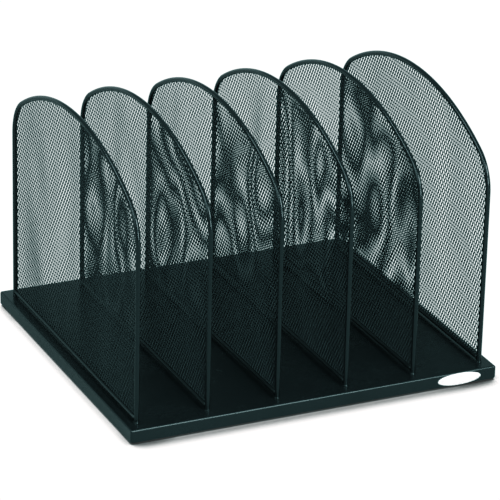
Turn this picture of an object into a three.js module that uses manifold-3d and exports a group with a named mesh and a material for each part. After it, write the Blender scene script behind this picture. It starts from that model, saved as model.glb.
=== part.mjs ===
// A desktop file sorter: six arched wire-and-mesh dividers standing on a folded steel base.
// Millimetres, +Z up, the front edge of the base faces -Y. The origin is at the middle of the
// whole sorter's footprint, on the surface that it stands on.
import * as THREE from 'three';
import { mergeVertices } from 'three/addons/utils/BufferGeometryUtils.js';
import Module from 'manifold-3d';

const wasm = await Module();
wasm.setup();

// ---- Driving dimensions ----
const width = 317.5; // over the base, left to right
const depth = 285.75; // front to back, badge included
const height = 222; // floor to the crown of the dividers

const dividerCount = 6;
const dividerInset = 9.6; // base edge to the middle of the end dividers
const legInset = 12; // base edge to the middle of a leg, front and back
const wireDiameter = 4;
const railDiameter = 4;
const panelThickness = 0.8;
const crownRadius = 220; // middle of the wire, over the top
const shoulderRadius = 36; // middle of the wire, at the two bends
const railClearance = 1.2; // under the rail, above the base

const sheet = 1.2; // thickness of the base
const flangeHeight = 10.8;
const bendRadius = 1.6; // outside of the folds
const cornerRadius = 2.2; // outside, where two flanges meet, over the bend radius

const footLift = 1.4; // how far the feet hold the flanges off the floor
const footDiameter = 13;
const footInset = 20; // base edge to the middle of a foot

const badgeWidth = 38.4;
const badgeHeight = 10;
const badgeThickness = 0.7;
const badgeFromEnd = 33.4; // right end of the base to the middle of the badge

const pinRadius = 1.4; // a leg's end, where it goes through the base
const pinHeadRadius = 2.5;
const pinHeadHeight = 1;
const beadRadius = 2.7; // the weld round a leg's foot
const beadHeight = 0.9;

const fitGap = 0.3; // between a round piece and what it meets
const seatGap = 0.05; // between two flat faces

// ---- Sizes worked out from them ----
const baseDepth = depth - badgeThickness - seatGap;
const baseTop = footLift + flangeHeight;
const baseUnderside = baseTop - sheet;
const dividerPitch = (width - 2 * dividerInset) / (dividerCount - 1);
const halfSpan = baseDepth / 2 - legInset; // middle of the sorter to the middle of a leg
const wireRadius = wireDiameter / 2;
const crownHeight = height - wireRadius;
const railRadius = railDiameter / 2;
const railHeight = baseTop + railClearance + railRadius;
const pinBottom = baseUnderside - seatGap - pinHeadHeight;
const legBottom = baseTop + seatGap + beadHeight;
const footHeight = baseUnderside - seatGap;
const badgeMiddle = footLift + flangeHeight / 2;

// ---- Finishes ----
const blackSteel = { color: 0x10181a, roughness: 0.45, metalness: 0.35 };
const meshSteel = { color: 0x1c2628, roughness: 0.5, metalness: 0.35 };
const blackRubber = { color: 0x151515, roughness: 0.9, metalness: 0 };
const whitePlastic = { color: 0xe9ebea, roughness: 0.35, metalness: 0 };

const sorter = new THREE.Group();
sorter.position.y = depth / 2 - baseDepth / 2; // the badge stands out of the front only

function addPiece(name, geometry, finish, x = 0, y = 0, z = 0) {
  const mesh = new THREE.Mesh(geometry, new THREE.MeshStandardMaterial(finish));
  mesh.name = name;
  mesh.position.set(x, y, z);
  sorter.add(mesh);
}

// ---- Solids ----
function toSolid(geometry) {
  const bare = geometry.clone();
  bare.deleteAttribute('normal');
  bare.deleteAttribute('uv');
  const merged = mergeVertices(bare, 1e-4);
  return new wasm.Manifold(new wasm.Mesh({
    numProp: 3,
    vertProperties: new Float32Array(merged.attributes.position.array),
    triVerts: new Uint32Array(merged.index.array),
  }));
}

function toGeometry(solid) {
  const mesh = solid.getMesh();
  const geometry = new THREE.BufferGeometry();
  geometry.setAttribute('position', new THREE.BufferAttribute(mesh.vertProperties, 3));
  geometry.setIndex(new THREE.BufferAttribute(mesh.triVerts, 1));
  const flat = geometry.toNonIndexed();
  flat.computeVertexNormals();
  return flat;
}

// A turned shape about Z from [radius, height] points that start and end on the axis.
function turned(profile, sides) {
  const points = profile.map(([r, z]) => new THREE.Vector2(r, z));
  return new THREE.LatheGeometry(points, sides).rotateX(Math.PI / 2);
}

// ---- The base: a sheet folded down on all four sides ----
function roundedRectangle(w, d, r) {
  const shape = new THREE.Shape();
  shape.absarc(w / 2 - r, d / 2 - r, r, 0, Math.PI / 2, false);
  shape.absarc(-w / 2 + r, d / 2 - r, r, Math.PI / 2, Math.PI, false);
  shape.absarc(-w / 2 + r, -d / 2 + r, r, Math.PI, 1.5 * Math.PI, false);
  shape.absarc(w / 2 - r, -d / 2 + r, r, 1.5 * Math.PI, 2 * Math.PI, false);
  shape.closePath();
  return shape;
}

// A block from `bottom` to `top` with its upright corners and its top edge rounded. Its own
// bottom edge is rounded too, `fold` lower, so `bottom` is where the plain sides end.
function softBlock(w, d, corner, fold, bottom, top) {
  const geometry = new THREE.ExtrudeGeometry(roundedRectangle(w, d, corner), {
    depth: top - bottom - fold,
    curveSegments: 2,
    bevelEnabled: true,
    bevelThickness: fold,
    bevelSize: fold,
    bevelOffset: -fold,
    bevelSegments: 3,
  });
  return toSolid(geometry.translate(0, 0, bottom));
}

function legPlaces() {
  const places = [];
  for (let i = 0; i < dividerCount; i += 1) {
    const x = -width / 2 + dividerInset + i * dividerPitch;
    places.push({ number: i + 1, x });
  }
  return places;
}

function baseGeometry() {
  const outside = softBlock(width, baseDepth, cornerRadius, bendRadius, 0, baseTop);
  const below = toSolid(new THREE.BoxGeometry(2 * width, 2 * baseDepth, 20)
    .translate(0, 0, footLift - 10));
  const inside = softBlock(
    width - 2 * sheet,
    baseDepth - 2 * sheet,
    cornerRadius - sheet,
    bendRadius - sheet,
    -5,
    baseUnderside,
  );
  let base = outside.subtract(below).subtract(inside);
  const drill = new THREE.CylinderGeometry(pinRadius + fitGap, pinRadius + fitGap, 4 * sheet, 16)
    .rotateX(Math.PI / 2);
  for (const place of legPlaces()) {
    for (const side of [-1, 1]) {
      const hole = drill.clone().translate(place.x, side * halfSpan, baseTop);
      base = base.subtract(toSolid(hole));
    }
  }
  return toGeometry(base);
}

// ---- The dividers ----
// The arch in its own plane: straight legs, two bends and a crown. `inward` moves the whole
// line towards the inside, and `bottom` is where the legs end.
function archLine(inward, bottom, line) {
  const span = halfSpan - inward;
  const crown = crownRadius - inward;
  const shoulder = shoulderRadius - inward;
  const crownCentre = crownHeight - crownRadius;
  const reach = crownRadius - shoulderRadius;
  const shoulderOut = halfSpan - shoulderRadius;
  const rise = Math.sqrt(reach ** 2 - shoulderOut ** 2);
  const shoulderCentre = crownCentre + rise;
  const joinAngle = Math.atan2(rise, shoulderOut);
  line.moveTo(-span, bottom);
  line.lineTo(-span, shoulderCentre);
  line.absarc(-shoulderOut, shoulderCentre, shoulder, Math.PI, Math.PI - joinAngle, true);
  line.absarc(0, crownCentre, crown, Math.PI - joinAngle, joinAngle, true);
  line.absarc(shoulderOut, shoulderCentre, shoulder, joinAngle, 0, true);
  line.lineTo(span, bottom);
  return line;
}

class WireLine extends THREE.Curve {
  constructor(path) {
    super();
    this.path = path;
    this.arcLengthDivisions = 600;
  }

  getPoint(t, target = new THREE.Vector3()) {
    const p = this.path.getPoint(t);
    return target.set(0, p.x, p.y);
  }
}

function frameGeometry() {
  const section = new THREE.Shape().absarc(0, 0, wireRadius, 0, 2 * Math.PI, false);
  const arch = new THREE.ExtrudeGeometry(section, {
    curveSegments: 5, // ten sides
    steps: 90,
    bevelEnabled: false,
    extrudePath: new WireLine(archLine(0, legBottom, new THREE.Path())),
  });
  const coreRadius = wireRadius - 0.15;
  const legEnd = turned([
    [0, legBottom + 2],
    [coreRadius, legBottom + 2],
    [coreRadius, legBottom + 0.3],
    [beadRadius, legBottom - beadHeight / 2],
    [beadRadius, baseTop + seatGap],
    [pinRadius, baseTop + seatGap],
    [pinRadius, baseUnderside - seatGap],
    [pinHeadRadius, baseUnderside - seatGap],
    [pinHeadRadius, pinBottom],
    [0, pinBottom],
  ].reverse(), 12);
  let frame = toSolid(arch);
  for (const side of [-1, 1]) {
    frame = frame.add(toSolid(legEnd.clone().translate(0, side * halfSpan, 0)));
  }
  return toGeometry(frame);
}

function panelGeometry() {
  const bottom = railHeight + railRadius + fitGap;
  const shape = archLine(wireRadius + fitGap, bottom, new THREE.Shape());
  shape.closePath();
  return new THREE.ExtrudeGeometry(shape, {
    depth: panelThickness,
    curveSegments: 12,
    bevelEnabled: false,
  })
    .translate(0, 0, -panelThickness / 2)
    .applyMatrix4(new THREE.Matrix4().makeBasis(
      new THREE.Vector3(0, 1, 0),
      new THREE.Vector3(0, 0, 1),
      new THREE.Vector3(1, 0, 0),
    ));
}

function railGeometry() {
  const length = 2 * (halfSpan - wireRadius - fitGap);
  return new THREE.CylinderGeometry(railRadius, railRadius, length, 16);
}

// ---- Feet and badge ----
function footGeometry() {
  const r = footDiameter / 2;
  return turned([
    [0, 0],
    [r - 0.8, 0],
    [r - 0.2, 0.6],
    [r, footHeight],
    [0, footHeight],
  ], 24);
}

function badgeGeometry() {
  const oval = new THREE.Shape();
  oval.absellipse(0, 0, badgeWidth / 2, badgeHeight / 2, 0, 2 * Math.PI, false, 0);
  return new THREE.ExtrudeGeometry(oval, {
    depth: badgeThickness,
    curveSegments: 32,
    bevelEnabled: false,
  }).rotateX(Math.PI / 2);
}

// ---- Assembly ----
addPiece('base_plate', baseGeometry(), blackSteel);
for (const place of legPlaces()) {
  addPiece(`divider_${place.number}_frame`, frameGeometry(), blackSteel, place.x);
  addPiece(`divider_${place.number}_rail`, railGeometry(), blackSteel, place.x, 0, railHeight);
  addPiece(`divider_${place.number}_mesh`, panelGeometry(), meshSteel, place.x);
}
for (const [side, sx] of [['left', -1], ['right', 1]]) {
  for (const [end, sy] of [['front', -1], ['back', 1]]) {
    const x = sx * (width / 2 - footInset);
    const y = sy * (baseDepth / 2 - footInset);
    addPiece(`foot_${end}_${side}`, footGeometry(), blackRubber, x, y);
  }
}
addPiece(
  'badge_blank',
  badgeGeometry(),
  whitePlastic,
  width / 2 - badgeFromEnd,
  -baseDepth / 2 - seatGap,
  badgeMiddle,
);

const part = new THREE.Group();
part.add(sorter);
export default part;
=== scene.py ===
import math

import bpy
from mathutils import Matrix, Vector, noise


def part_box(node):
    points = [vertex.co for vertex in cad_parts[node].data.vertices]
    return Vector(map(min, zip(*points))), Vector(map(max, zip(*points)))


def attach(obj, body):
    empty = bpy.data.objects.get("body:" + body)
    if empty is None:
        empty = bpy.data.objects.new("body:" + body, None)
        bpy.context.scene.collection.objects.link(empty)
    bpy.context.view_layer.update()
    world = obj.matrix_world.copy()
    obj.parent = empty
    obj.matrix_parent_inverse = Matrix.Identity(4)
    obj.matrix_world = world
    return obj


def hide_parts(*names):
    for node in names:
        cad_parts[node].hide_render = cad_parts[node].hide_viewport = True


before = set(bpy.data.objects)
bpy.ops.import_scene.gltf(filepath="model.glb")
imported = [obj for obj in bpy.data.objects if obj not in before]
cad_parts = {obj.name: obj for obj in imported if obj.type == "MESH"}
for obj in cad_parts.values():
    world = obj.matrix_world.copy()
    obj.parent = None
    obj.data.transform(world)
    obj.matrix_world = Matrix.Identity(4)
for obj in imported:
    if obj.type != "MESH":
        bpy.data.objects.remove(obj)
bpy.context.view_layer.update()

MM = 0.001

# ---- Driving dimensions, the same as the CAD's unless a line says otherwise ----
SHEET = 1.2 * MM
BEND_RADIUS = 1.6 * MM  # outside of the folds
CORNER_RADIUS = 1.6 * MM  # outside, where two flanges meet; the CAD's is 2.2 mm
WIRE_RADIUS = 2.0 * MM
CROWN_RADIUS = 220 * MM  # middle of the wire, over the top
SHOULDER_RADIUS = 36 * MM
PIN_RADIUS = 1.4 * MM
PIN_HEAD_RADIUS = 2.5 * MM
BEAD_RADIUS = 2.7 * MM  # the weld round a leg's foot
BEAD_HEIGHT = 0.9 * MM
HOLE_RADIUS = 1.7 * MM
SEAT_GAP = 0.05 * MM
DIVIDERS = 6

# ---- The mesh: one diamond is two half pitches wide and high ----
HALF_PITCH_Y = 1.84 * MM
HALF_PITCH_Z = 3.05 * MM
STRAND_WIDTH = 0.51 * MM
STRAND_THICKNESS = 0.44 * MM
LAST_FULLER = 1.14  # the right divider's strands against the others'
SIDE_BLUNT = 0.10 * MM  # how much of a diamond's side corners is filled
TIP_BLUNT = 0.30 * MM  # how much of its top and bottom corners is filled
WARP = 0.45 * MM  # how strongly the stretched sheet strays from an even grid
WARP_CELLS = 9  # noise cells per metre
BULGE = 2.9 * MM  # how strongly it buckles between the wires
INNER_BULGE = 1.35 * BULGE  # the same, in the dividers between the two end ones
BULGE_CELLS_Y = 17  # noise cells per metre
BULGE_CELLS_Z = 8
BULGE_FADE = 18 * MM  # how quickly that dies away towards the wire

# How the photograph holds back red in everything darker than white, as (level, red's level) in
# linear light. The points were picked from colours in the photograph.
RED_CURVE = [(0.008, 0.0046), (0.02, 0.0106), (0.04, 0.0225), (0.08, 0.048), (0.2, 0.145),
             (0.4, 0.335), (0.7, 0.65)]

base_lo, base_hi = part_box("base_plate")
frame_lo, frame_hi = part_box("divider_1_frame")
rail_lo, rail_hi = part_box("divider_1_rail")
badge_lo, badge_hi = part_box("badge_blank")

BASE_TOP = base_hi.z
BASE_UNDERSIDE = base_hi.z - SHEET
MIDDLE_Y = (base_lo.y + base_hi.y) / 2
HALF_SPAN = (frame_hi.y - frame_lo.y) / 2 - BEAD_RADIUS
CROWN_HEIGHT = frame_hi.z - WIRE_RADIUS
CROWN_CENTRE = CROWN_HEIGHT - CROWN_RADIUS
SHOULDER_OUT = HALF_SPAN - SHOULDER_RADIUS
SHOULDER_RISE = math.sqrt((CROWN_RADIUS - SHOULDER_RADIUS) ** 2 - SHOULDER_OUT ** 2)
SHOULDER_CENTRE = CROWN_CENTRE + SHOULDER_RISE
SHOULDER_ANGLE = math.atan2(SHOULDER_RISE, SHOULDER_OUT)  # where a bend meets the crown
RAIL_HEIGHT = (rail_lo.z + rail_hi.z) / 2
RAIL_RADIUS = (rail_hi.z - rail_lo.z) / 2


# ---- Mesh helpers ----
def new_piece(name, vertices, faces, material, replaced, smooth_angle):
    """Makes a piece that stands for one CAD node. Edges sharper than the angle, in degrees, stay
    crisp, and an angle of 0 leaves the piece flat shaded."""
    mesh = bpy.data.meshes.new(name)
    mesh.from_pydata(vertices, [], faces)
    mesh.validate()
    piece = bpy.data.objects.new(name, mesh)
    bpy.context.scene.collection.objects.link(piece)
    if smooth_angle:
        mesh.shade_smooth()
        mesh.set_sharp_from_angle(angle=math.radians(smooth_angle))
    mesh.materials.append(material)
    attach(piece, "root")
    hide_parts(replaced)
    return piece


def ring_faces(first, second, count):
    """Quads between two closed rings of `count` vertices."""
    faces = []
    for k in range(count):
        after = (k + 1) % count
        faces.append((first + k, first + after, second + after, second + k))
    return faces


def skin(rings):
    """Joins closed rings of points into one closed surface, its two ends capped."""
    count = len(rings[0])
    vertices = [point for ring in rings for point in ring]
    faces = []
    for r in range(len(rings) - 1):
        faces += ring_faces(r * count, (r + 1) * count, count)
    faces.append(tuple(reversed(range(count))))
    last = (len(rings) - 1) * count
    faces.append(tuple(range(last, last + count)))
    return vertices, faces


def turned_rings(profile, x, y, sides):
    """Rings about an upright axis from (radius, height) pairs."""
    rings = []
    for radius, z in profile:
        ring = []
        for k in range(sides):
            a = 2 * math.pi * k / sides
            ring.append(Vector((x + radius * math.cos(a), y + radius * math.sin(a), z)))
        rings.append(ring)
    return rings


# ---- Materials ----
# Noise cells per metre, and bump heights.
CLOUDS = 22  # slow changes over a hand's width
PEEL = 620  # orange peel in the coating
GRAIN = 2600  # the coating's fine grain
RUBBER_GRAIN = 1800
BADGE_CLOUDS = 160
PAPER = 40
PEEL_HEIGHT = 0.08 * MM
GRAIN_HEIGHT = 0.03 * MM
RUBBER_HEIGHT = 0.06 * MM
BADGE_HEIGHT = 0.04 * MM


class Nodes:
    """A small helper that builds one node tree."""

    def __init__(self, name):
        self.material = bpy.data.materials.new(name)
        self.material.use_nodes = True
        self.tree = self.material.node_tree
        self.tree.nodes.clear()
        self.output = self.add("ShaderNodeOutputMaterial")
        self.shader = self.add("ShaderNodeBsdfPrincipled")
        self.link(self.shader, "BSDF", self.output, "Surface")
        self.place = self.add("ShaderNodeTexCoord")

    def add(self, kind, **values):
        node = self.tree.nodes.new(kind)
        for key, value in values.items():
            setattr(node, key, value)
        return node

    def link(self, source, out, target, into):
        self.tree.links.new(source.outputs[out], target.inputs[into])

    def noise(self, scale, detail, roughness=0.55):
        node = self.add("ShaderNodeTexNoise")
        node.inputs["Scale"].default_value = scale
        node.inputs["Detail"].default_value = detail
        node.inputs["Roughness"].default_value = roughness
        self.link(self.place, "Object", node, "Vector")
        return node

    def ramp(self, source, out, stops):
        node = self.add("ShaderNodeValToRGB")
        points = node.color_ramp.elements
        while len(points) < len(stops):
            points.new(0.5)
        for point, (at, colour) in zip(points, stops):
            point.position = at
            point.color = (*colour, 1)
        self.link(source, out, node, "Fac")
        return node

    def spread(self, source, out, low, high):
        """Stretches the middle of a noise's range over low to high."""
        node = self.add("ShaderNodeMapRange")
        node.inputs["From Min"].default_value = 0.3
        node.inputs["From Max"].default_value = 0.7
        node.inputs["To Min"].default_value = low
        node.inputs["To Max"].default_value = high
        self.link(source, out, node, "Value")
        return node

    def bump(self, source, out, strength, distance, under=None):
        node = self.add("ShaderNodeBump")
        node.inputs["Strength"].default_value = strength
        node.inputs["Distance"].default_value = distance
        self.link(source, out, node, "Height")
        if under:
            self.link(under, "Normal", node, "Normal")
        return node


def powder_coat(name, dark, light, roughness, tint, peel=1.0, level=0.5):
    """Satin powder coat: orange peel, fine grain, and slow changes in colour and gloss."""
    n = Nodes(name)
    cloud = n.noise(CLOUDS, detail=4)
    grain = n.noise(GRAIN, detail=2)
    orange_peel = n.noise(PEEL, detail=2, roughness=0.4)
    mixed = n.add("ShaderNodeMix", data_type="FLOAT")
    mixed.inputs["Factor"].default_value = 0.35
    n.link(cloud, "Fac", mixed, "A")
    n.link(grain, "Fac", mixed, "B")
    colour = n.ramp(mixed, "Result", [(0.32, dark), (0.68, light)])
    n.link(colour, "Color", n.shader, "Base Color")
    rough = n.spread(mixed, "Result", roughness - 0.025, roughness + 0.03)
    n.link(rough, "Result", n.shader, "Roughness")
    fine = n.bump(grain, "Fac", 0.25 * peel, GRAIN_HEIGHT)
    coarse = n.bump(orange_peel, "Fac", 0.35 * peel, PEEL_HEIGHT, under=fine)
    n.link(coarse, "Normal", n.shader, "Normal")
    n.shader.inputs["Specular IOR Level"].default_value = level
    n.shader.inputs["Specular Tint"].default_value = (*tint, 1)
    return n.material


def rubber():
    n = Nodes("black_rubber")
    grain = n.noise(RUBBER_GRAIN, detail=3)
    colour = n.ramp(grain, "Fac", [(0.3, (0.012, 0.012, 0.012)), (0.7, (0.024, 0.023, 0.022))])
    n.link(colour, "Color", n.shader, "Base Color")
    rough = n.spread(grain, "Fac", 0.75, 0.92)
    n.link(rough, "Result", n.shader, "Roughness")
    n.link(n.bump(grain, "Fac", 0.4, RUBBER_HEIGHT), "Normal", n.shader, "Normal")
    return n.material


def badge_white():
    n = Nodes("badge_white")
    cloud = n.noise(BADGE_CLOUDS, detail=4)
    colour = n.ramp(cloud, "Fac", [(0.3, (0.89, 0.87, 0.87)), (0.7, (0.94, 0.92, 0.92))])
    n.link(colour, "Color", n.shader, "Base Color")
    rough = n.spread(cloud, "Fac", 0.24, 0.34)
    n.link(rough, "Result", n.shader, "Roughness")
    n.link(n.bump(cloud, "Fac", 0.15, BADGE_HEIGHT), "Normal", n.shader, "Normal")
    return n.material


BASE_COAT = powder_coat("base_coat", (0.0040, 0.0043, 0.0047), (0.0064, 0.0069, 0.0076), 0.26,
                        (0.92, 0.97, 1.0), peel=0.3)
WIRE_COAT = powder_coat("wire_coat", (0.0026, 0.0029, 0.0032), (0.0046, 0.0051, 0.0057), 0.19,
                        (0.92, 0.97, 1.0))
MESH_COAT = powder_coat("mesh_coat", (0.0026, 0.0029, 0.0032), (0.0046, 0.0051, 0.0057), 0.42,
                        (0.88, 0.96, 1.0), peel=0.6, level=0.12)
RUBBER = rubber()
BADGE_WHITE = badge_white()


def floor_white():
    """Pale paper, bright enough to look white, with the object's soft contact shadow."""
    n = Nodes("floor_white")
    n.shader.inputs["Roughness"].default_value = 1.0
    n.shader.inputs["Specular IOR Level"].default_value = 0.0
    paper = n.noise(PAPER, detail=2)
    colour = n.ramp(paper, "Fac", [(0.3, (0.34, 0.35, 0.35)), (0.7, (0.37, 0.38, 0.38))])
    n.link(colour, "Color", n.shader, "Base Color")
    # The shadow is where the object is near, looking up and to the back, so most is in front.
    contact = n.add("ShaderNodeAmbientOcclusion", samples=16)
    contact.inputs["Distance"].default_value = 22 * MM
    lean = n.add("ShaderNodeCombineXYZ")
    for socket, value in zip(lean.inputs, (0.0, 0.55, 0.83)):
        socket.default_value = value
    n.link(lean, "Vector", contact, "Normal")
    # (how open the floor is, how light it looks); red is raised to make up for RED_CURVE.
    grey = [(0.45, 0.03), (0.52, 0.18), (0.56, 0.29), (0.61, 0.46), (0.66, 0.64), (0.70, 0.80),
            (0.74, 0.93), (0.79, 1.0)]
    stops = [(at, (v ** 0.87, v * 0.99, v * 0.985)) for at, v in grey]
    shadow = n.ramp(contact, "AO", stops)
    glow = n.add("ShaderNodeEmission")
    glow.inputs["Strength"].default_value = 1.05
    n.link(shadow, "Color", glow, "Color")
    seen = n.add("ShaderNodeLightPath")
    pick = n.add("ShaderNodeMixShader")
    n.link(seen, "Is Camera Ray", pick, 0)
    n.tree.links.new(n.shader.outputs["BSDF"], pick.inputs[1])
    n.tree.links.new(glow.outputs["Emission"], pick.inputs[2])
    n.link(pick, "Shader", n.output, "Surface")
    return n.material


# ---- The base: one sheet folded down on four sides ----
def rounded_outline(inset, steps):
    """Plan of the base, `inset` from its edges, as (x, y, how near a seam from 0 to 1)."""
    half_x = (base_hi.x - base_lo.x) / 2 - inset
    half_y = (base_hi.y - base_lo.y) / 2 - inset
    corner = max(CORNER_RADIUS - inset, 0.05 * MM)
    points = []
    for quarter in range(4):
        sx = 1 if quarter in (0, 3) else -1
        sy = 1 if quarter in (0, 1) else -1
        for k in range(steps + 1):
            a = (quarter + k / steps) * math.pi / 2
            near = 1 - abs(2 * k / steps - 1)
            points.append((
                sx * (half_x - corner) + corner * math.cos(a),
                MIDDLE_Y + sy * (half_y - corner) + corner * math.sin(a),
                near,
            ))
    return points


def base_ring(inset, z, lift=0.0, steps=8):
    """One ring round the base, raised by `lift` at the seams in its corners."""
    ring = []
    for x, y, near in rounded_outline(inset, steps):
        ring.append(Vector((x, y, z + lift * near ** 0.6)))
    return ring


def make_base():
    bottom = base_lo.z
    lift = 0.8 * MM  # the flanges' lower corners are cut round
    edge = 0.3 * MM  # rounding of the flanges' lower edges
    inner_bend = BEND_RADIUS - SHEET
    inner_steps = 7
    edge_steps = 4
    fold_steps = 8
    rings = []
    for k in range(inner_steps + 1):  # inner faces, from the middle of the underside outwards
        a = math.pi / 2 * (1 - k / inner_steps)
        inset = SHEET + inner_bend * (1 - math.cos(a))
        z = BASE_UNDERSIDE - inner_bend * (1 - math.sin(a))
        rings.append(base_ring(inset, z))
    rings.append(base_ring(SHEET, bottom + 4 * edge, lift))
    for k in range(edge_steps + 1):  # round the lower edge
        a = math.pi * k / edge_steps
        inset = SHEET / 2 * (1 + math.cos(a))
        rings.append(base_ring(inset, bottom + edge * (1 - math.sin(a)), lift))
    rings.append(base_ring(0, bottom + 4 * edge, lift))
    for k in range(fold_steps + 1):  # up and over the fold
        a = math.pi / 2 * k / fold_steps
        inset = BEND_RADIUS * (1 - math.cos(a))
        rings.append(base_ring(inset, BASE_TOP - BEND_RADIUS * (1 - math.sin(a))))
    vertices, faces = skin(rings)
    base = new_piece("base_tray", vertices, faces, BASE_COAT, "base_plate", 0)
    drill_leg_holes(base)
    base.data.shade_smooth()
    base.data.set_sharp_from_angle(angle=math.radians(50))
    weighted = base.modifiers.new("weighted", "WEIGHTED_NORMAL")
    weighted.keep_sharp = True
    apply_modifiers(base)


def apply_modifiers(piece):
    """Swaps the piece's mesh for the one its modifiers make."""
    depsgraph = bpy.context.evaluated_depsgraph_get()
    mesh = bpy.data.meshes.new_from_object(piece.evaluated_get(depsgraph))
    piece.modifiers.clear()
    old = piece.data
    piece.data = mesh
    bpy.data.meshes.remove(old)
    mesh.name = piece.name


def divider_x(number):
    """Where the middle of a divider is along the row."""
    lo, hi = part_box(f"divider_{number}_frame")
    return (lo.x + hi.x) / 2


def drill_leg_holes(base):
    """Cuts the holes that the legs' pins go through."""
    vertices = []
    faces = []
    for number in range(1, DIVIDERS + 1):
        for side in (-1, 1):
            y = MIDDLE_Y + side * HALF_SPAN
            profile = [(HOLE_RADIUS, BASE_UNDERSIDE - MM), (HOLE_RADIUS, BASE_TOP + MM)]
            points, quads = skin(turned_rings(profile, divider_x(number), y, 20))
            start = len(vertices)
            vertices += points
            faces += [tuple(start + i for i in face) for face in quads]
    mesh = bpy.data.meshes.new("drill")
    mesh.from_pydata(vertices, [], faces)
    drill = bpy.data.objects.new("drill", mesh)
    bpy.context.scene.collection.objects.link(drill)
    cut = base.modifiers.new("holes", "BOOLEAN")
    cut.operation = "DIFFERENCE"
    cut.solver = "EXACT"
    cut.object = drill
    apply_modifiers(base)
    bpy.data.objects.remove(drill)


# ---- The wire frames ----
def arc(middle_y, middle_z, radius, start, end, steps):
    """Points (y, z, angle) round an arc, without its first one."""
    points = []
    for k in range(1, steps + 1):
        a = start + (end - start) * k / steps
        points.append((middle_y + radius * math.cos(a), middle_z + radius * math.sin(a), a))
    return points


def arch_line():
    """The middle of the wire from the front leg's end to the back one's, as (y, z, angle). The
    angle is the way out of the arch, from pi at the front to 0 at the back."""
    foot = BASE_TOP + 2 * MM
    rise = SHOULDER_CENTRE - foot
    leg_steps = 30
    bend_steps = 16
    front, back = math.pi, 0.0
    front_join, back_join = math.pi - SHOULDER_ANGLE, SHOULDER_ANGLE
    line = []
    for k in range(1, leg_steps + 1):
        line.append((-HALF_SPAN, foot + rise * k / leg_steps, front))
    line += arc(-SHOULDER_OUT, SHOULDER_CENTRE, SHOULDER_RADIUS, front, front_join, bend_steps)
    line += arc(0, CROWN_CENTRE, CROWN_RADIUS, front_join, back_join, 3 * bend_steps)
    line += arc(SHOULDER_OUT, SHOULDER_CENTRE, SHOULDER_RADIUS, back_join, back, bend_steps)
    for k in range(1, leg_steps + 1):
        line.append((HALF_SPAN, SHOULDER_CENTRE - rise * k / leg_steps, back))
    return line


def leg_end():
    """(radius, height, how lumpy) from the peened head under the base up to the plain wire."""
    under = BASE_UNDERSIDE - SEAT_GAP
    bottom = frame_lo.z
    over = BASE_TOP + SEAT_GAP
    bead_top = over + BEAD_HEIGHT
    return [
        (0.55 * PIN_HEAD_RADIUS, bottom, 0),
        (0.85 * PIN_HEAD_RADIUS, bottom + 0.08 * MM, 0),
        (0.97 * PIN_HEAD_RADIUS, bottom + 0.30 * MM, 0),
        (PIN_HEAD_RADIUS, under - 0.3 * MM, 0),
        (PIN_HEAD_RADIUS, under, 0),
        (PIN_RADIUS, under, 0),
        (PIN_RADIUS, over, 0),
        (0.88 * BEAD_RADIUS, over, 1),
        (0.89 * BEAD_RADIUS, over + 0.2 * MM, 1),
        (0.85 * BEAD_RADIUS, over + 0.45 * MM, 1),
        (0.79 * BEAD_RADIUS, bead_top - 0.2 * MM, 1),
        (WIRE_RADIUS + 0.05 * MM, bead_top + 0.1 * MM, 0.4),
        (WIRE_RADIUS, bead_top + 0.5 * MM, 0),
    ]


def make_frame(number, sides=24):
    """A divider's wire, as rings along its middle, with its weld beads a little uneven."""
    x = divider_x(number)
    stations = []
    for radius, z, lumpy in leg_end():
        stations.append((-HALF_SPAN, z, math.pi, radius, lumpy))
    for y, z, a in arch_line():
        stations.append((y, z, a, WIRE_RADIUS, 0))
    for radius, z, lumpy in reversed(leg_end()):
        stations.append((HALF_SPAN, z, 0.0, radius, lumpy))
    uneven = 0.05  # of a weld bead's radius
    lumps = 2.1  # noise cells from a bead's middle to its side
    rings = []
    for y, z, a, radius, lumpy in stations:
        seed = number * 7.3 + y * 90  # each leg has a bead of its own
        ring = []
        for k in range(sides):
            turn = 2 * math.pi * k / sides
            lump = noise.noise(Vector((seed, lumps * math.cos(turn), lumps * math.sin(turn))))
            r = radius * (1 + uneven * lumpy * lump)
            out = r * math.cos(turn)
            ring.append(Vector((
                x + r * math.sin(turn),
                MIDDLE_Y + y + out * math.cos(a),
                z + out * math.sin(a),
            )))
        rings.append(ring)
    vertices, faces = skin(rings)
    name = f"divider_{number}_frame"
    new_piece(f"wire_{number}", vertices, faces, WIRE_COAT, name, 50)


# ---- The rods along the bottom of the dividers ----
def make_rail(number, sides=24):
    """A divider's rod, which flares a little into the weld at each end."""
    x = divider_x(number)
    reach = HALF_SPAN - 0.55 * WIRE_RADIUS
    flare = [(0.0, 1.16), (0.6, 1.16), (1.0, 1.13), (1.5, 1.06), (2.2, 1.0)]  # (mm in, how wide)
    plain = reach - flare[-1][0] * MM
    plain_steps = 40
    stations = [(-reach + at * MM, RAIL_RADIUS * grow) for at, grow in flare]
    for k in range(1, plain_steps):
        stations.append((plain * (2 * k / plain_steps - 1), RAIL_RADIUS))
    stations += [(reach - at * MM, RAIL_RADIUS * grow) for at, grow in reversed(flare)]
    rings = []
    for y, radius in stations:
        ring = []
        for k in range(sides):
            turn = -2 * math.pi * k / sides
            ring.append(Vector((
                x + radius * math.cos(turn),
                MIDDLE_Y + y,
                RAIL_HEIGHT + radius * math.sin(turn),
            )))
        rings.append(ring)
    vertices, faces = skin(rings)
    name = f"divider_{number}_rail"
    new_piece(f"rod_{number}", vertices, faces, WIRE_COAT, name, 50)


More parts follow.
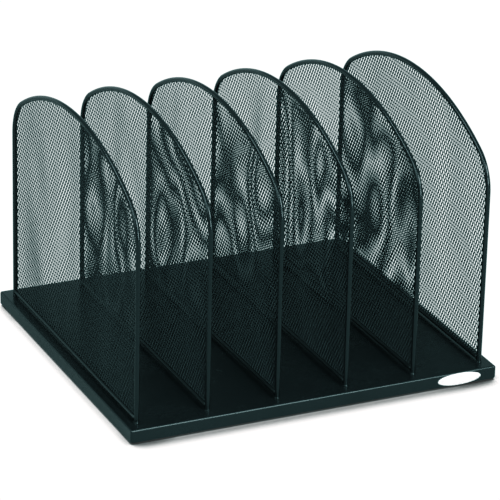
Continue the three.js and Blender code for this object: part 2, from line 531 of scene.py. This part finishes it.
# ---- The expanded mesh ----
def room(y, z):
    """How far a point of the divider's plane is inside the middle of the wire and rod."""
    y = abs(y)
    inside = min(HALF_SPAN - y, z - RAIL_HEIGHT)
    if z > SHOULDER_CENTRE:
        if y * SHOULDER_RISE > SHOULDER_OUT * (z - CROWN_CENTRE):
            edge = SHOULDER_RADIUS - math.hypot(y - SHOULDER_OUT, z - SHOULDER_CENTRE)
        else:
            edge = CROWN_RADIUS - math.hypot(y, z - CROWN_CENTRE)
        inside = min(inside, edge)
    return inside


def knot_corners(strand):
    """The eight corners of a knot about its middle, anticlockwise from the right."""
    edge = math.hypot(HALF_PITCH_Y, HALF_PITCH_Z)
    hole_y = HALF_PITCH_Y - strand / 2 * edge / HALF_PITCH_Z
    hole_z = HALF_PITCH_Z - strand / 2 * edge / HALF_PITCH_Y
    side = SIDE_BLUNT * hole_z / hole_y
    tip = TIP_BLUNT * hole_y / hole_z
    knot_y = HALF_PITCH_Y - hole_y + SIDE_BLUNT
    knot_z = HALF_PITCH_Z - hole_z + TIP_BLUNT
    return [
        (knot_y, -side), (knot_y, side), (tip, knot_z), (-tip, knot_z),
        (-knot_y, side), (-knot_y, -side), (-tip, -knot_z), (tip, -knot_z),
    ]


# A strand leaves a knot between two of its corners and lands between two of the next one's.
STRANDS = {
    (1, 1): ((1, 2), (6, 5)),
    (-1, 1): ((3, 4), (0, 7)),
    (-1, -1): ((5, 6), (2, 1)),
    (1, -1): ((7, 0), (4, 3)),
}


def make_panel(number):
    """A divider's mesh: knots and strands, bent out of true by smooth noise, cut off at the
    middle of the wire and rod."""
    x = divider_x(number)
    fuller = LAST_FULLER if number == DIVIDERS else 1
    corners = knot_corners(fuller * STRAND_WIDTH)
    shift = 0.61 * number % 1.0  # each panel is cut from another place in the sheet
    bulge = BULGE if number in (1, DIVIDERS) else INNER_BULGE

    def warp(y, z):
        at = Vector((y * WARP_CELLS, z * WARP_CELLS, number * 3.7))
        return y + WARP * noise.noise(at), z + WARP * noise.noise(at + Vector((31, 7, 3)))

    knots = {}
    columns = int(HALF_SPAN / HALF_PITCH_Y) + 2
    rows = int((CROWN_HEIGHT - RAIL_HEIGHT) / HALF_PITCH_Z) + 2
    for j in range(rows):
        for i in range(-columns, columns + 1):
            if (i + j) % 2:
                y = (i + shift) * HALF_PITCH_Y
                z = RAIL_HEIGHT + (j + 0.5) * HALF_PITCH_Z
                if room(*warp(y, z)) > 0.2 * MM:
                    knots[i, j] = (y, z)

    vertices = []
    faces = []
    half = fuller * STRAND_THICKNESS / 2

    def add_point(y, z):
        """A point on the front face and one on the back face; returns the first's number."""
        y, z = warp(y, z)
        held = 1 - math.exp(-max(room(y, z), 0) / BULGE_FADE)
        at = Vector((y * BULGE_CELLS_Y, z * BULGE_CELLS_Z, number * 5.3))
        lean = bulge * held * (noise.noise(at) + 0.22 * noise.noise(2.3 * at))
        vertices.append((x + half + lean, MIDDLE_Y + y, z))
        vertices.append((x - half + lean, MIDDLE_Y + y, z))
        return len(vertices) - 2

    def add_outline(points, open_sides):
        """A flat bit of strand, with walls along the sides that face a hole."""
        faces.append(tuple(points))
        faces.append(tuple(p + 1 for p in reversed(points)))
        for k in open_sides:
            a = points[k]
            b = points[(k + 1) % len(points)]
            faces.append((a, a + 1, b + 1, b))

    placed = {}
    for key, (y, z) in knots.items():
        placed[key] = [add_point(y + dy, z + dz) for dy, dz in corners]
        add_outline(placed[key], (0, 2, 4, 6))
    for (i, j), (y, z) in knots.items():
        for (di, dj), (here, there) in STRANDS.items():
            far = (i + di, j + dj)
            if far in knots:
                if dj > 0:
                    start = [placed[i, j][c] for c in here]
                    end = [placed[far][c] for c in there]
                    add_outline([start[0], end[0], end[1], start[1]], (0, 2))
                continue
            part = crossing(y, z, di, dj, warp)
            ends = []
            for near_corner, far_corner in zip(here, there):
                y0, z0 = y + corners[near_corner][0], z + corners[near_corner][1]
                y1 = y + di * HALF_PITCH_Y + corners[far_corner][0]
                z1 = z + dj * HALF_PITCH_Z + corners[far_corner][1]
                ends.append(add_point(y0 + part * (y1 - y0), z0 + part * (z1 - z0)))
            start = [placed[i, j][c] for c in here]
            add_outline([start[0], ends[0], ends[1], start[1]], (0, 1, 2))

    name = f"divider_{number}_mesh"
    panel = new_piece(f"mesh_{number}", vertices, faces, MESH_COAT, name, 0)
    lay_out(panel.data)


def crossing(y, z, di, dj, warp):
    """How far along a strand the wire's middle is, between 0 and 1."""
    low, high = 0.02, 0.98
    for _ in range(12):
        middle = (low + high) / 2
        at = warp(y + middle * di * HALF_PITCH_Y, z + middle * dj * HALF_PITCH_Z)
        if room(*at) > 0:
            low = middle
        else:
            high = middle
    return low


def lay_out(mesh):
    """A flat layout of the panel for the exporter: its two faces side by side."""
    layer = mesh.uv_layers.new(name="OFBake")
    size = 2.1 * HALF_SPAN
    for polygon in mesh.polygons:
        side = 0.5 if polygon.normal.x < -0.5 else 0.0
        for loop in polygon.loop_indices:
            at = mesh.vertices[mesh.loops[loop].vertex_index].co
            across = (at.y - MIDDLE_Y + HALF_SPAN) / size
            layer.data[loop].uv = (side + across / 2, at.z / size)


# ---- Feet and badge ----
def make_foot(node):
    """A turned rubber foot with a dished sole."""
    lo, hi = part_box(node)
    r = (hi.x - lo.x) / 2
    x, y = (lo.x + hi.x) / 2, (lo.y + hi.y) / 2
    dish = 0.5 * MM
    profile = [
        (0.12 * r, lo.z + dish * 3),
        (0.26 * r, lo.z + dish * 3),
        (0.30 * r, lo.z + dish * 2.6),
        (0.32 * r, lo.z + dish),
        (0.36 * r, lo.z + 0.4 * dish),
        (0.50 * r, lo.z),
        (0.82 * r, lo.z),
        (0.90 * r, lo.z + 0.12 * MM),
        (0.95 * r, lo.z + 0.45 * MM),
        (0.97 * r, lo.z + 1.0 * MM),
        (0.985 * r, hi.z - 1.2 * MM),
        (r, hi.z - 0.8 * MM),
        (r, hi.z - 0.15 * MM),
        (0.98 * r, hi.z),
        (0.60 * r, hi.z),
        (0.10 * r, hi.z),
    ]
    vertices, faces = skin(turned_rings(profile, x, y, 48))
    new_piece(f"rubber_{node}", vertices, faces, RUBBER, node, 40)


def make_badge():
    """A blank, slightly crowned oval with a fine groove inside its edge."""
    half_w = (badge_hi.x - badge_lo.x) / 2
    half_h = (badge_hi.z - badge_lo.z) / 2
    x = (badge_hi.x + badge_lo.x) / 2
    z = (badge_hi.z + badge_lo.z) / 2
    back, front = badge_hi.y, badge_lo.y
    sides = 96
    profile = [  # inset from the edge, place from back 0 to front 1
        (0.10, 0.0), (0.02, 0.06), (0.0, 0.2), (0.0, 0.55), (0.05, 0.75), (0.16, 0.88),
        (0.34, 0.95), (0.50, 0.96), (0.60, 0.90), (0.72, 0.90), (0.82, 0.96), (1.2, 0.98),
        (2.2, 0.99), (3.6, 1.0),
    ]
    rings = []
    for inset, depth in profile:
        ring = []
        for k in range(sides):
            a = 2 * math.pi * k / sides
            ring.append(Vector((
                x + (half_w - inset * MM) * math.cos(a),
                back + (front - back) * depth,
                z + (half_h - inset * MM) * math.sin(a),
            )))
        rings.append(ring)
    vertices, faces = skin(rings)
    new_piece("badge", vertices, faces, BADGE_WHITE, "badge_blank", 45)


# ---- Floor, light and camera ----
def make_floor():
    size = 10.0
    mesh = bpy.data.meshes.new("floor")
    corners = [(-size, -size, 0), (size, -size, 0), (size, size, 0), (-size, size, 0)]
    mesh.from_pydata(corners, [], [(0, 1, 2, 3)])
    floor = bpy.data.objects.new("floor", mesh)
    bpy.context.scene.collection.objects.link(floor)
    mesh.materials.append(floor_white())


def soft_box(name, place, aim, width, height, radiance):
    """A rectangular light that the camera doesn't see."""
    light = bpy.data.lights.new(name, "AREA")
    light.shape = "RECTANGLE"
    light.size = width
    light.size_y = height
    light.energy = radiance * math.pi * width * height
    lamp = bpy.data.objects.new(name, light)
    lamp.location = place
    direction = Vector(aim) - Vector(place)
    lamp.rotation_euler = direction.to_track_quat("-Z", "Y").to_euler()
    lamp.visible_camera = False
    bpy.context.scene.collection.objects.link(lamp)


# Name, place, what it is aimed at, width, height and radiance.
SOFT_BOXES = [
    ("strip", (-0.60, -0.35, 1.30), (0, -0.35, 0.1), 1.9, 0.16, 12.0),  # lines along the arches
    ("key", (0.60, -1.5, 1.15), (0, 0, 0.05), 0.75, 0.7, 13.0),  # the line on the front fold
    ("left", (-1.5, -0.3, 0.9), (0, 0, 0.05), 0.9, 0.9, 1.8),
    ("front", (0.1, -2.2, 0.5), (0, 0, 0.05), 0.8, 0.5, 12.6),
    ("card", (0.2, 1.05, 0.24), (0.2, 0, 0.24), 2.8, 0.45, 0.35),
]


def make_world():
    """A pale studio: brighter overhead than along the floor, and white to the camera."""
    world = bpy.data.worlds.new("studio")
    world.use_nodes = True
    tree = world.node_tree
    tree.nodes.clear()
    output = tree.nodes.new("ShaderNodeOutputWorld")
    room_light = tree.nodes.new("ShaderNodeBackground")
    backdrop = tree.nodes.new("ShaderNodeBackground")
    pick = tree.nodes.new("ShaderNodeMixShader")
    path = tree.nodes.new("ShaderNodeLightPath")
    place = tree.nodes.new("ShaderNodeTexCoord")
    split = tree.nodes.new("ShaderNodeSeparateXYZ")
    ramp = tree.nodes.new("ShaderNodeValToRGB")
    tree.links.new(place.outputs["Generated"], split.inputs[0])
    tree.links.new(split.outputs["Z"], ramp.inputs["Fac"])
    stops = ramp.color_ramp.elements
    stops[0].position, stops[0].color = 0.45, (0.17, 0.18, 0.185, 1)
    stops[1].position, stops[1].color = 0.95, (0.25, 0.26, 0.265, 1)
    tree.links.new(ramp.outputs["Color"], room_light.inputs["Color"])
    backdrop.inputs["Color"].default_value = (1, 1, 1, 1)
    backdrop.inputs["Strength"].default_value = 1.1
    tree.links.new(path.outputs["Is Camera Ray"], pick.inputs[0])
    tree.links.new(room_light.outputs[0], pick.inputs[1])
    tree.links.new(backdrop.outputs[0], pick.inputs[2])
    tree.links.new(pick.outputs[0], output.inputs["Surface"])
    bpy.context.scene.world = world


def make_camera():
    """At the photograph's viewing angle: from the front left, looking down."""
    azimuth, elevation, roll = (math.radians(v) for v in (25.12, 23.116, -1.434))
    forward = Vector((
        math.sin(azimuth) * math.cos(elevation),
        math.cos(azimuth) * math.cos(elevation),
        -math.sin(elevation),
    ))
    right = forward.cross(Vector((0, 0, 1))).normalized()
    down = forward.cross(right)
    across = math.cos(roll) * right + math.sin(roll) * down
    below = math.cos(roll) * down - math.sin(roll) * right
    data = bpy.data.cameras.new("camera")
    data.sensor_width = 36
    data.lens = 236.6
    data.clip_end = 50
    camera = bpy.data.objects.new("camera", data)
    turn = Matrix((across, -below, -forward)).transposed()
    camera.matrix_world = Matrix.Translation((-1.0374, -2.2224, 1.1286)) @ turn.to_4x4()
    bpy.context.scene.collection.objects.link(camera)
    bpy.context.scene.camera = camera


def set_grade():
    """Plain display colours, with the photograph's cool cast in all that is darker than white."""
    view = bpy.context.scene.view_settings
    view.view_transform = "Standard"
    view.use_curve_mapping = True
    red = view.curve_mapping.curves[0]
    for level, shown in RED_CURVE:
        red.points.new(level, shown)
    view.curve_mapping.update()


make_camera()
make_base()
for divider in range(1, DIVIDERS + 1):
    make_frame(divider)
    make_rail(divider)
    make_panel(divider)
for foot in ("foot_front_left", "foot_back_left", "foot_front_right", "foot_back_right"):
    make_foot(foot)
make_badge()
make_floor()
make_world()
for light_values in SOFT_BOXES:
    soft_box(*light_values)
set_grade()
